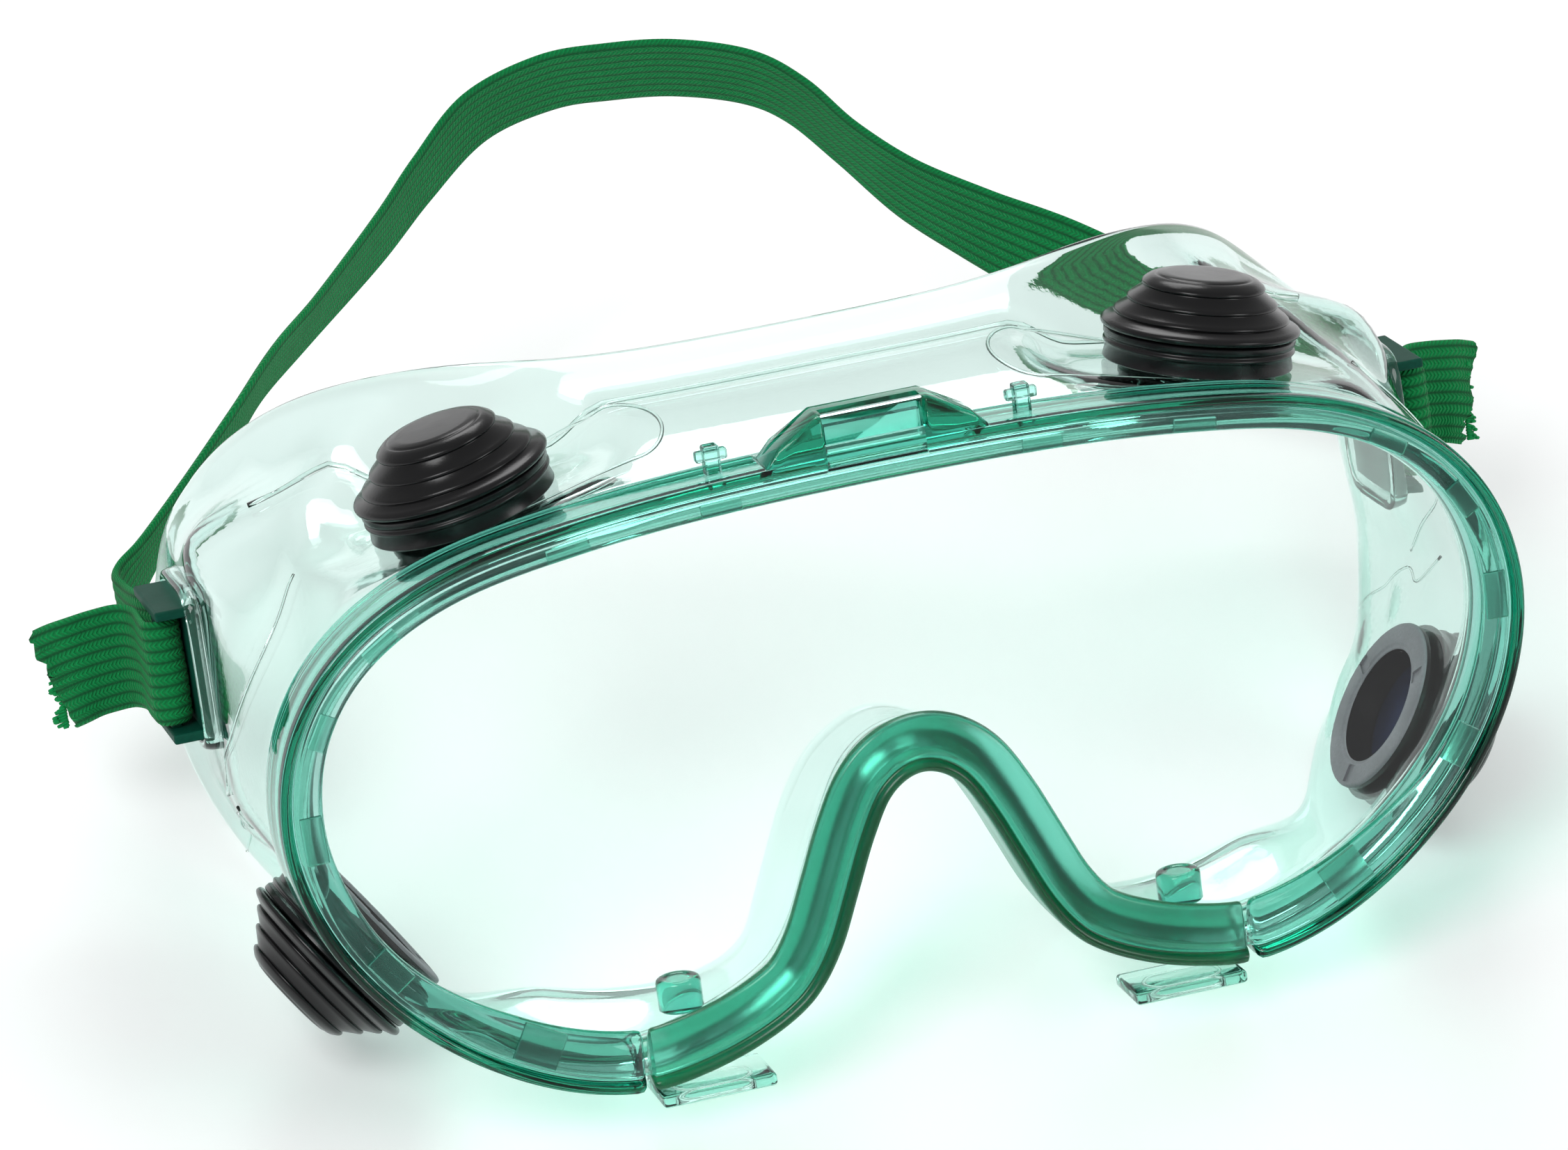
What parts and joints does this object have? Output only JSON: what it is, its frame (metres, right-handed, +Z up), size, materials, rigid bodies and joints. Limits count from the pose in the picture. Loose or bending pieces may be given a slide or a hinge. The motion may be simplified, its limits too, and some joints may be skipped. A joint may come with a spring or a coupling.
{
  "type": "safety goggles",
  "caption": "Chemical splash goggles: clear flat lens in a green clamping rim, soft clear face skirt, capped vents and an elastic headband that swings on side clips.",
  "frame": {"origin": "on the table under the middle of the bounding box, with the goggles lying back as when put down", "axes": "+X to the viewer's right across the lens, -Y the way the lens faces, +Z up"},
  "size_m": [0.2134, 0.1638, 0.0875],
  "materials": {
    "skirt_pvc": "soft clear PVC with a pale mint tint, glossy",
    "lens_clear": "clear flat lens, polished",
    "rim_green": "translucent green, polished",
    "bridge_green": "translucent emerald green, frosted",
    "vent_black": "black, satin",
    "clip_green": "dark green, polished",
    "webbing_green": "ribbed elastic webbing, kelly green"
  },
  "bodies": {
    "goggles_frame": {"face_skirt": "skirt_pvc", "lens": "lens_clear", "lens_rim": "rim_green", "nose_bridge": "bridge_green", "vent_base_top_left": "vent_black", "vent_base_top_right": "vent_black", "vent_base_low_left": "vent_black", "vent_base_low_right": "vent_black", "strap_clip_left": "clip_green", "strap_clip_right": "clip_green", "strap_end_left": "webbing_green", "strap_end_right": "webbing_green", "bridge_stud_left": "rim_green", "bridge_stud_right": "rim_green", "grip_tab_left": "skirt_pvc", "grip_tab_right": "skirt_pvc"},
    "headband": {"head_strap": "webbing_green"},
    "cap_top_left": {"vent_cap_top_left": "vent_black"},
    "cap_top_right": {"vent_cap_top_right": "vent_black"},
    "cap_low_left": {"vent_cap_low_left": "vent_black"},
    "cap_low_right": {"vent_cap_low_right": "vent_black"}
  },
  "joints": [
    {"name": "headband_swing", "type": "hinge", "parent": "goggles_frame", "child": "headband", "pos_m": [0, 0.00604, 0.0286], "axis": [1, 0, 0], "range_deg": [-60, 30]},
    {"name": "cap_top_left_pull", "type": "slide", "parent": "goggles_frame", "child": "cap_top_left", "axis": [-0.2079, 0.4441, 0.8715], "range_m": [0, 0.008]},
    {"name": "cap_top_right_pull", "type": "slide", "parent": "goggles_frame", "child": "cap_top_right", "axis": [0.2079, 0.4441, 0.8715], "range_m": [0, 0.008]},
    {"name": "cap_low_left_pull", "type": "slide", "parent": "goggles_frame", "child": "cap_low_left", "axis": [-0.829, -0.2539, -0.4982], "range_m": [0, 0.008]},
    {"name": "cap_low_right_pull", "type": "slide", "parent": "goggles_frame", "child": "cap_low_right", "axis": [0.829, -0.2539, -0.4982], "range_m": [0, 0.008]}
  ]
}
